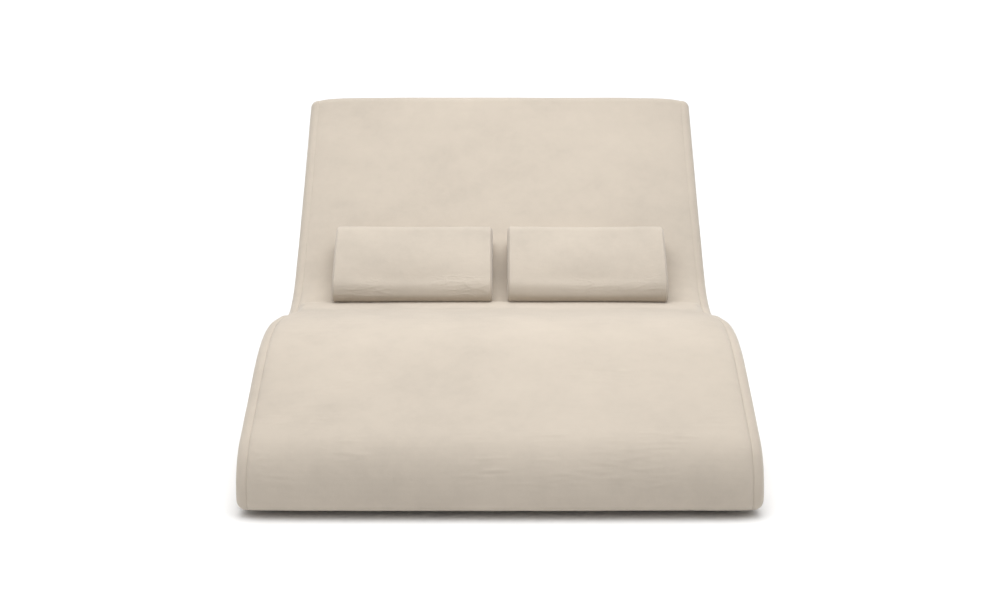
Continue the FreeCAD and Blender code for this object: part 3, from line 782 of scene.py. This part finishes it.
def keep_clear(points, tree, gap):
    """Moves points that come nearer than a gap to the seat back out of it."""
    kept = points.copy()
    for k, point in enumerate(points):
        place, normal, index, distance = tree.find_nearest(Vector(point), pillow_search)
        if place is None:
            continue
        if normal.z < 0:
            normal = -normal
        side = (Vector(point) - place).dot(normal)
        if side < gap:
            kept[k] = point + np.array(normal) * (gap - side)
    return kept


def curve_through(values, places):
    """Values read between whole places along the first axis, on a smooth curve through them."""
    last = len(values) - 1
    base = np.clip(np.floor(places).astype(int), 0, last - 1)
    t = (places - base).reshape((-1,) + (1,) * (values.ndim - 1))
    a = values[np.clip(base - 1, 0, last)]
    b, c = values[base], values[base + 1]
    d = values[np.clip(base + 2, 0, last)]
    curve = 2 * b + (c - a) * t + (2 * a - 5 * b + 4 * c - d) * t**2 + (3 * b - a - 3 * c + d) * t**3
    return 0.5 * curve


def finer(grid):
    """Rings of a pillow drawn finer, most of all beside its end seams; each ring's distance to a seam."""
    wrapped = np.concatenate((grid[:, -2:], grid, grid[:, :3]), axis=1).transpose(1, 0, 2)
    around = 2 + np.arange(2 * grid.shape[1]) / 2
    grid = curve_through(wrapped, around).transpose(1, 0, 2)
    last = len(grid) - 1
    edge = np.array(pillow_edge_steps)
    inner = np.arange(1.0, last - 1 + 0.5 / pillow_fine_steps, 1.0 / pillow_fine_steps)
    places = np.concatenate((edge, inner, last - edge[::-1]))
    pitch = np.linalg.norm(grid[2, 0] - grid[1, 0])
    return curve_through(grid, places), np.minimum(places, last - places) * pitch


def grid_normals(grid):
    """Outward unit normals of closed rings of points."""
    across = np.gradient(grid, axis=0)
    around = np.roll(grid, -1, 1) - np.roll(grid, 1, 1)
    normals = unit(np.cross(around, across))
    outwards = np.sum(normals * (grid - grid.mean(axis=1, keepdims=True)))
    return normals if outwards > 0 else -normals


def zip_section(name):
    """Middle, width direction, outward normal, half width and height of a zip's section in (y, z)."""
    low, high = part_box(name)
    loops = np.concatenate(cut_loops(name, low.x + 0.5 * (high.x - low.x)))
    middle = (loops.min(0) + loops.max(0)) / 2
    for step in range(3):
        direction = np.linalg.svd(loops - middle, full_matrices=False)[2][0]
        reach = (loops - middle) @ direction
        middle = middle + direction * (reach.min() + reach.max()) / 2
    normal = np.array((-direction[1], direction[0]))
    rise = (loops - middle) @ normal
    if abs(rise.min()) > rise.max():
        normal, rise = -normal, -rise
    return middle, direction, normal, np.ptp(reach) / 2, rise.max()


def zip_places(name):
    """Ends of a zip across the body."""
    low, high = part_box(name)
    return low.x, high.x


def blocks(name, centres, up, sizes, material, body_name):
    """One piece made of equal small rounded blocks at several places along X."""
    along, up = Vector((1.0, 0.0, 0.0)), Vector(up).normalized()
    side = along.cross(up)
    form = bmesh.new()
    for centre in centres:
        made = bmesh.ops.create_cube(form, size=1.0)["verts"]
        for vert in made:
            x, y, z = (part * size for part, size in zip(vert.co, sizes))
            vert.co = Vector(centre) + along * x + side * y + up * z
    bmesh.ops.bevel(form, geom=form.edges[:], offset=0.3 * min(sizes), segments=1, affect="EDGES")
    mesh = bpy.data.meshes.new(name)
    form.to_mesh(mesh)
    form.free()
    placed(name, mesh, material, body_name)


def zip_detail(name, teeth_material, thread_material):
    """Teeth along a pillow's zip and a row of stitches along each edge of its tape."""
    middle, direction, normal, half, rise = zip_section(name + "_pillow_zip")
    start, end = zip_places(name + "_pillow_zip")
    up = (0.0, *normal)
    places = np.arange(start + tooth_pitch, end - tooth_pitch / 2, tooth_pitch)
    lift = middle + normal * (rise - tooth_sink)
    turns = [lift - direction * tooth_offset, lift + direction * tooth_offset]
    centres = [(x, *turns[k % 2]) for k, x in enumerate(places)]
    blocks(name + "_pillow_zip_teeth", centres, up, (tooth_length, tooth_width, tooth_height),
           teeth_material, name + "_pillow")
    flat = middle + normal * zip_tape_rise
    stitches = []
    for edge in (-1, 1):
        row = flat + direction * edge * (half - stitch_inset)
        places = np.arange(start + stitch_pitch, end - stitch_pitch / 2, stitch_pitch)
        stitches += [(x, *row) for x in places]
    blocks(name + "_pillow_zip_stitches", stitches, up, (stitch_length, stitch_width, stitch_width),
           thread_material, name + "_pillow")


def evened(shift, rounds):
    """A shift of a pillow's rings without its small folds."""
    for turn in range(rounds):
        around = (np.roll(shift, 1, 1) + np.roll(shift, -1, 1)) / 2
        padded = np.concatenate((shift[:1], shift, shift[-1:]))
        across = (padded[:-2] + padded[2:]) / 2
        shift = 0.4 * shift + 0.3 * around + 0.3 * across
    return shift


def rounded(grid, rounds):
    """A pillow's rings with their small dents and ridges smoothed out."""
    for turn in range(rounds):
        grid = 0.4 * grid + 0.3 * np.roll(grid, 1, 1) + 0.3 * np.roll(grid, -1, 1)
    return grid


def filled_rings(case, form, start, points):
    """Rings of a filled pillow, from its starting rings and points: simulated, evened and rounded."""
    last = (pillow_rows - 1) * pillow_ring_points
    held = [*range(pillow_ring_points), *range(last, last + pillow_ring_points)]
    points = inflate(case, held, points)
    shift = points[:start.shape[0] * start.shape[1]].reshape(start.shape) - start
    edge = np.minimum(np.arange(pillow_rows), np.arange(pillow_rows)[::-1])
    shift = evened(shift, pillow_evening) * fade(edge, *pillow_free_rows)[:, None, None]
    up = pillow_axes(form)[0]
    shift[..., 1:] -= (1.0 - pillow_height_change) * (shift[..., 1:] @ up)[..., None] * up
    return rounded(start + shift, pillow_rounding)


def snug_zip(grid, outside, name):
    """Rings of a pillow drawn onto the CAD form round its zip, and how firmly each point is held there."""
    middle = zip_section(name + "_pillow_zip")[0]
    from_zip = np.linalg.norm(grid[..., 1:] - middle, axis=-1)
    hold = (1.0 - fade(from_zip, zip_hold_near, zip_hold_far))[..., None]
    snug = outside - grid_normals(outside) * zip_case_depth
    return grid * (1 - hold) + snug * hold, hold[..., 0]


def case_relief(grid, seam_distance, held, axes, side):
    """Height of a pillow case over its filled form: full foot, soft unevenness, crush marks and seams."""
    up, front = axes
    normals = grid_normals(grid)
    low, high = grid[..., 2].min(), grid[..., 2].max()
    rise = (grid[..., 2] - low) / (high - low)
    places = grid.reshape(-1, 3)
    calm = fade(seam_distance, 0.0, pillow_calm_edge)[:, None] * (1 - held)
    lower_front = fade(-normals[..., 1], *pillow_lower_front) * (1 - fade(rise, *pillow_marks_end))
    lower_front = lower_front * fade(rise, *pillow_marks_start)
    marks = crush_marks(places, 31.0 + side).reshape(rise.shape) / crease_height * pillow_crease_height
    foot = np.clip(-(normals[..., 1:] @ up), 0.0, 1.0)
    lower_corner = np.clip(2.0 * foot * (normals[..., 1:] @ front), 0.0, 1.0) ** corner_sharpness
    height = foot_fill * foot + corner_fill * lower_corner
    swells = unevenness(places, 33.0 + side).reshape(rise.shape)
    height = height + swells * calm + marks * lower_front * calm
    distance = np.broadcast_to(seam_distance[:, None], rise.shape)
    height = height + seam_gathers(grid, distance, 35.0 + side) * (1 - held)
    height = height - pillow_seam_depth * np.exp(-distance / pillow_seam_reach)
    return normals * height[..., None]


def pillow(side, tree, material, filling):
    """One loose pillow: its sewn case and its filling."""
    name = "right" if side > 0 else "left"
    form, x = pillow_form(side)
    start = pillow_start(form, x)
    points, faces = with_ends(start, pillow_end_bulge)
    case = add_mesh(name + "_pillow_case", points, faces, material, name + "_pillow")
    grid, seam_distance = finer(filled_rings(case, form, start, points))
    wide = np.broadcast_to(x[:, None, None], form.shape[:2] + (1,))
    outside = finer(np.concatenate((wide, form), axis=-1))[0]
    grid, held = snug_zip(grid, outside, name)
    grid = grid + case_relief(grid, seam_distance, held, pillow_axes(form), side)
    points, faces = with_ends(grid, pillow_end_bulge)
    points = keep_clear(points, tree, pillow_gap)
    case.data.clear_geometry()
    case.data.from_pydata([tuple(point) for point in points], [], faces)
    case.data.polygons.foreach_set("use_smooth", [True] * len(case.data.polygons))
    face_outwards(case)
    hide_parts(name + "_pillow_wrap", name + "_pillow_inner_end", name + "_pillow_outer_end")
    rows, columns = filling_step
    inner = (grid - grid_normals(grid) * filling_inset)[::rows, ::columns]
    middle_x = inner[..., 0].mean()
    inner[..., 0] = middle_x + (inner[..., 0] - middle_x) * (1 - 2 * filling_inset / np.ptp(x))
    points, faces = with_ends(inner, pillow_end_bulge)
    inside = add_mesh(name + "_pillow_filling", points, faces, filling, name + "_pillow")
    face_outwards(inside)
    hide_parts(name + "_pillow_fill")


class Graph:
    """The nodes of a material or a world, with a short call for its calculations."""

    def __init__(self, owner):
        owner.use_nodes = True
        self.nodes = owner.node_tree.nodes
        self.links = owner.node_tree.links

    def math(self, kind, *values):
        """A sum, product or other calculation of sockets and numbers."""
        node = self.nodes.new("ShaderNodeMath")
        node.operation = kind
        for socket, value in zip(node.inputs, values):
            if isinstance(value, (int, float)):
                socket.default_value = value
            else:
                self.links.new(value, socket)
        return node.outputs[0]


class Finish(Graph):
    """One procedural material, with short calls for the textures and ramps that it is made of."""

    def __init__(self, name, roughness, **inputs):
        self.material = bpy.data.materials.new(name)
        super().__init__(self.material)
        self.shader = self.nodes["Principled BSDF"]
        self.shader.inputs["Roughness"].default_value = roughness
        for key, value in inputs.items():
            self.shader.inputs[key.replace("_", " ")].default_value = value
        self.place = self.nodes.new("ShaderNodeTexCoord").outputs["Object"]

    def stretched(self, scale):
        """Object coordinates scaled along each axis."""
        mapping = self.nodes.new("ShaderNodeMapping")
        mapping.inputs["Scale"].default_value = scale
        self.links.new(self.place, mapping.inputs["Vector"])
        return mapping.outputs["Vector"]

    def noise(self, scale, detail=2.0, rough=0.5, stretch=None):
        """Noise from 0 to 1; scale is in waves per metre, times stretch along each axis."""
        texture = self.nodes.new("ShaderNodeTexNoise")
        texture.inputs["Scale"].default_value = scale
        texture.inputs["Detail"].default_value = detail
        texture.inputs["Roughness"].default_value = rough
        self.links.new(self.stretched(stretch) if stretch else self.place, texture.inputs["Vector"])
        return texture.outputs["Fac"]

    def cells(self, scale):
        """Distance from 0 to 1 to the nearest point of a scattered pattern."""
        texture = self.nodes.new("ShaderNodeTexVoronoi")
        texture.inputs["Scale"].default_value = scale
        self.links.new(self.place, texture.inputs["Vector"])
        return texture.outputs["Distance"]

    def bands(self, scale):
        """Soft stripes from 0 to 1 across the X axis, slightly wavy; scale is in stripes per metre."""
        texture = self.nodes.new("ShaderNodeTexWave")
        texture.bands_direction = "X"
        texture.inputs["Scale"].default_value = scale / 20 * math.pi
        texture.inputs["Distortion"].default_value = 0.4
        self.links.new(self.place, texture.inputs["Vector"])
        return texture.outputs["Fac"]

    def spread(self, value, low, high, new_low=0.0, new_high=1.0):
        """Values from low to high drawn out to a new range."""
        node = self.nodes.new("ShaderNodeMapRange")
        self.links.new(value, node.inputs["Value"])
        limits = {"From Min": low, "From Max": high, "To Min": new_low, "To Max": new_high}
        for key, number in limits.items():
            node.inputs[key].default_value = number
        return node.outputs["Result"]

    def weighed(self, *pairs):
        """Sum of values, each times its weight."""
        total = None
        for value, weight in pairs:
            part = self.math("MULTIPLY", value, weight)
            total = part if total is None else self.math("ADD", total, part)
        return total

    def colour(self, value, base, *stops):
        """Base colour from a value, through (place, brightness) stops."""
        ramp = self.nodes.new("ShaderNodeValToRGB")
        elements = ramp.color_ramp.elements
        while len(elements) < len(stops):
            elements.new(0.5)
        for element, (place, brightness) in zip(elements, stops):
            element.position = place
            element.color = (*shade(base, brightness), 1.0)
        self.links.new(value, ramp.inputs["Fac"])
        self.links.new(ramp.outputs["Color"], self.shader.inputs["Base Color"])

    def roughness(self, value):
        """Roughness from a value."""
        self.links.new(value, self.shader.inputs["Roughness"])

    def bump(self, *heights):
        """Relief from (value, depth in metres) pairs, the coarsest first; the finished material."""
        below = None
        for value, depth in heights:
            node = self.nodes.new("ShaderNodeBump")
            node.inputs["Strength"].default_value = 1.0
            node.inputs["Distance"].default_value = depth
            self.links.new(value, node.inputs["Height"])
            if below is not None:
                self.links.new(below, node.inputs["Normal"])
            below = node.outputs["Normal"]
        self.links.new(below, self.shader.inputs["Normal"])
        return self.material


def shade(colour, factor):
    """A colour made lighter or darker."""
    return tuple(min(1.0, part * factor) for part in colour)


def velvet_finish(name, colour, seed):
    """Short-pile velvet: soft mottling, brushed patches, fine pile and a light sheen."""
    finish = Finish(name, 0.9, Sheen_Weight=0.3, Sheen_Roughness=0.4, Specular_IOR_Level=0.22)
    clouds = finish.noise(1.7 + seed, 3.0, 0.55)
    patches = finish.noise(8.5 + seed, 4.0, 0.62, stretch=(0.8, 1.0, 1.0))
    brushed = finish.noise(30.0 + seed, 4.0, 0.6)
    folds = finish.noise(1.0, 3.0, 0.6, stretch=(52.0, 85.0 + seed, 85.0))
    pile = finish.noise(900.0, 2.0, 0.6)
    tone = finish.weighed((clouds, 0.40), (patches, 0.34), (brushed, 0.16), (pile, 0.10))
    finish.colour(finish.spread(tone, 0.36, 0.64), colour, (0.0, 0.91), (0.5, 1.0), (1.0, 1.06))
    finish.roughness(finish.spread(patches, 0.3, 0.7, 0.82, 0.95))
    worn = finish.math("MULTIPLY", finish.spread(folds, 0.46, 0.7), finish.spread(patches, 0.45, 0.62))
    return finish.bump((brushed, 0.0005), (worn, 0.00015), (pile, 0.0002))


def foam_finish(name, colour):
    """Open-cell foam: pale, with fine cells and faint patches."""
    finish = Finish(name, 0.95, Specular_IOR_Level=0.2)
    cells = finish.cells(420.0)
    patches = finish.noise(14.0, 3.0)
    tone = finish.weighed((cells, 0.5), (patches, 0.5))
    finish.colour(tone, colour, (0.15, 0.82), (0.7, 1.0))
    return finish.bump((patches, 0.0006), (cells, 0.0006))


def wadding_finish(name, colour):
    """Polyester wadding: loose white fibres in soft clumps."""
    finish = Finish(name, 0.95, Sheen_Weight=0.2)
    clumps = finish.noise(60.0, 4.0, 0.7)
    fibres = finish.noise(1.0, 3.0, 0.7, stretch=(900.0, 260.0, 260.0))
    tone = finish.weighed((clumps, 0.6), (fibres, 0.4))
    finish.colour(tone, colour, (0.3, 0.86), (0.65, 1.0))
    return finish.bump((clumps, 0.0015), (fibres, 0.0004))


def wood_finish(name, colour, stretch, layers=0.0):
    """Wood with its grain drawn out along one axis; layers is the pitch of glued plies, or none."""
    finish = Finish(name, 0.62, Specular_IOR_Level=0.35)
    grain = finish.noise(1.0, 5.0, 0.6, stretch=stretch)
    pores = finish.noise(1.0, 3.0, 0.6, stretch=tuple(6.0 * value for value in stretch))
    pairs = [(grain, 0.65), (pores, 0.35)]
    if layers:
        bands = finish.bands(1.0 / layers)
        pairs = [(grain, 0.45), (pores, 0.25), (bands, 0.3)]
    tone = finish.weighed(*pairs)
    finish.colour(tone, colour, (0.28, 0.66), (0.5, 1.0), (0.75, 1.14))
    finish.roughness(finish.spread(pores, 0.3, 0.7, 0.5, 0.75))
    return finish.bump((grain, 0.0004), (pores, 0.0003))


def steel_finish(name, colour):
    """Brushed, zinc-plated steel."""
    finish = Finish(name, 0.34, Metallic=1.0)
    brushing = finish.noise(1.0, 4.0, 0.65, stretch=(260.0, 2600.0, 2600.0))
    stains = finish.noise(120.0, 3.0)
    finish.colour(finish.weighed((brushing, 0.5), (stains, 0.5)), colour, (0.3, 0.8), (0.7, 1.0))
    finish.roughness(finish.spread(brushing, 0.3, 0.7, 0.26, 0.46))
    return finish.bump((brushing, 0.00004))


def plastic_finish(name, colour):
    """Moulded plastic with a fine eroded surface and slight scuffs."""
    finish = Finish(name, 0.5, Specular_IOR_Level=0.45)
    grainy = finish.noise(1500.0, 2.0)
    scuffs = finish.noise(70.0, 4.0, 0.7)
    finish.colour(finish.weighed((grainy, 0.3), (scuffs, 0.7)), colour, (0.3, 1.0), (0.75, 1.9))
    finish.roughness(finish.spread(scuffs, 0.35, 0.65, 0.42, 0.62))
    return finish.bump((grainy, 0.00008))


def nonwoven_finish(name, colour):
    """Spun-bonded lining: dull black with small pressed dots and fibre clouds."""
    finish = Finish(name, 0.88, Specular_IOR_Level=0.2)
    dots = finish.cells(380.0)
    fibres = finish.noise(160.0, 4.0, 0.7)
    finish.colour(finish.weighed((dots, 0.5), (fibres, 0.5)), colour, (0.2, 0.7), (0.8, 1.6))
    return finish.bump((fibres, 0.0003), (dots, 0.0003))


def tape_finish(name, colour):
    """Woven zip tape with a fine rib along it."""
    finish = Finish(name, 0.8, Sheen_Weight=0.15)
    ribs = finish.bands(1100.0)
    yarn = finish.noise(1.0, 2.0, 0.5, stretch=(1600.0, 700.0, 700.0))
    finish.colour(finish.weighed((ribs, 0.4), (yarn, 0.6)), colour, (0.25, 0.82), (0.75, 1.05))
    return finish.bump((ribs, 0.0001), (yarn, 0.0001))


def painted_finish(name, colour):
    """Matt floor paint with a barely visible unevenness."""
    finish = Finish(name, 0.85)
    finish.colour(finish.noise(3.0, 2.0), colour, (0.0, 0.995), (1.0, 1.0))
    return finish.material


def floor(material):
    """Plain pale floor, large enough to fill the picture."""
    signs = ((-1, -1), (1, -1), (1, 1), (-1, 1))
    corners = [(floor_half * x, floor_half * y, 0.0) for x, y in signs]
    mesh = bpy.data.meshes.new("floor")
    mesh.from_pydata(corners, [], [(0, 1, 2, 3)])
    mesh.materials.append(material)
    plane = bpy.data.objects.new("floor", mesh)
    bpy.context.collection.objects.link(plane)


def camera():
    """Camera in front of the foot end, looking a little down."""
    data = bpy.data.cameras.new("camera")
    data.lens = camera_lens
    data.sensor_width = camera_sensor
    data.clip_end = camera_reach
    place = bpy.data.objects.new("camera", data)
    place.location = camera_place
    place.rotation_euler = (camera_tilt, 0.0, 0.0)
    bpy.context.collection.objects.link(place)
    bpy.context.scene.camera = place


def background(graph, strength):
    """White background light of a given strength, as a number or a socket."""
    node = graph.nodes.new("ShaderNodeBackground")
    node.inputs["Color"].default_value = plain_white
    if isinstance(strength, float):
        node.inputs["Strength"].default_value = strength
    else:
        graph.links.new(strength, node.inputs["Strength"])
    return node.outputs[0]


def sky():
    """Studio surroundings: bright ceiling, dimmer walls, light from both sides and a white backdrop."""
    world = bpy.data.worlds.new("studio")
    bpy.context.scene.world = world
    graph = Graph(world)
    place = graph.nodes.new("ShaderNodeTexCoord")
    split = graph.nodes.new("ShaderNodeSeparateXYZ")
    graph.links.new(place.outputs["Generated"], split.inputs[0])
    sideways = graph.math("MULTIPLY", split.outputs["X"], split.outputs["X"])
    walls = graph.math("MULTIPLY_ADD", sideways, side_light, wall_light)
    ceiling = graph.math("POWER", graph.math("MAXIMUM", split.outputs["Z"], 0.0), ceiling_focus)
    strength = graph.math("MULTIPLY_ADD", ceiling, ceiling_light, walls)
    seen = graph.nodes.new("ShaderNodeMixShader")
    camera_ray = graph.nodes.new("ShaderNodeLightPath").outputs["Is Camera Ray"]
    sources = (camera_ray, background(graph, strength), background(graph, backdrop_white))
    for socket, source in zip(seen.inputs, sources):
        graph.links.new(source, socket)
    graph.nodes.remove(graph.nodes["Background"])
    graph.links.new(seen.outputs[0], graph.nodes["World Output"].inputs["Surface"])


def softbox():
    """Soft light above the middle of the body."""
    data = bpy.data.lights.new("softbox", "AREA")
    data.shape = "SQUARE"
    data.size = softbox_size
    data.energy = softbox_power
    lamp = bpy.data.objects.new("softbox", data)
    lamp.location = softbox_place
    bpy.context.collection.objects.link(lamp)


def dress(material, *words):
    """Gives the CAD nodes that have one of the words in their names a material."""
    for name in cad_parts:
        if any(word in name for word in words):
            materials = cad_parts[name].data.materials
            materials.clear()
            materials.append(material)


def dust_cloth(material):
    """Black lining stretched under the frame, sagging a little between the base rails."""
    low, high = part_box("dust_cover")
    top = high.z
    x = np.linspace(low.x, high.x, dust_grid[0])
    y = np.linspace(low.y, high.y, dust_grid[1])
    rails = [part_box(rail) for rail in ("front_base_rail", "middle_base_rail", "rear_base_rail")]
    points = []
    for b in y:
        free = min(max(rail[0].y - b, b - rail[1].y, 0.0) for rail in rails)
        for a in x:
            sag = dust_sag * min(1.0, free / dust_free_length) * math.cos(0.5 * math.pi * a / high.x)
            crease = dust_crease * noise.noise(Vector((a * dust_waves[0], b * dust_waves[1], 0.0)))
            points.append((a, b, top - sag + crease * min(1.0, free / dust_edge)))
    piece = add_mesh("dust_cloth", points, grid_faces(len(y), len(x)), material, "lounger")
    thicken(piece, dust_thickness)
    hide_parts("dust_cover")


velvet = velvet_finish("body_velvet", velvet_colour, 0.0)
pillow_velvet = velvet_finish("pillow_velvet", pillow_colour, 0.7)
foam = foam_finish("foam", (0.86, 0.8, 0.62))
wadding = wadding_finish("wadding", (0.9, 0.9, 0.88))
plywood = wood_finish("plywood", (0.62, 0.44, 0.26), (70.0, 9.0, 60.0), 0.0014)
timber = wood_finish("timber", (0.66, 0.49, 0.29), (5.0, 80.0, 80.0))
steel = steel_finish("zinc_steel", (0.62, 0.62, 0.63))
glide_plastic = plastic_finish("glide_plastic", (0.022, 0.022, 0.023))
nonwoven = nonwoven_finish("nonwoven", (0.03, 0.03, 0.032))
tape = tape_finish("zip_tape", shade(velvet_colour, 0.9))
thread = tape_finish("thread", shade(velvet_colour, 0.75))

dress(foam, "foam")
dress(wadding, "rear_wadding")
dress(plywood, "rib_", "deck", "board")
dress(timber, "rail", "corner_blocks")
dress(glide_plastic, "glide")
dress(tape, "pillow_zip")
dress(steel, "screws", "slider")

panel = main_cover(velvet)
rear_cover(velvet)
wadding_layer(wadding)
for hand in (1, -1):
    border_cover(hand, velvet)
dust_cloth(nonwoven)
seat = seat_tree(panel)
for hand in (1, -1):
    pillow(hand, seat, pillow_velvet, wadding)
    zip_detail("right" if hand > 0 else "left", tape, thread)
floor(painted_finish("floor_paint", floor_colour))
sky()
softbox()
camera()
bpy.context.scene.view_settings.view_transform = "Standard"
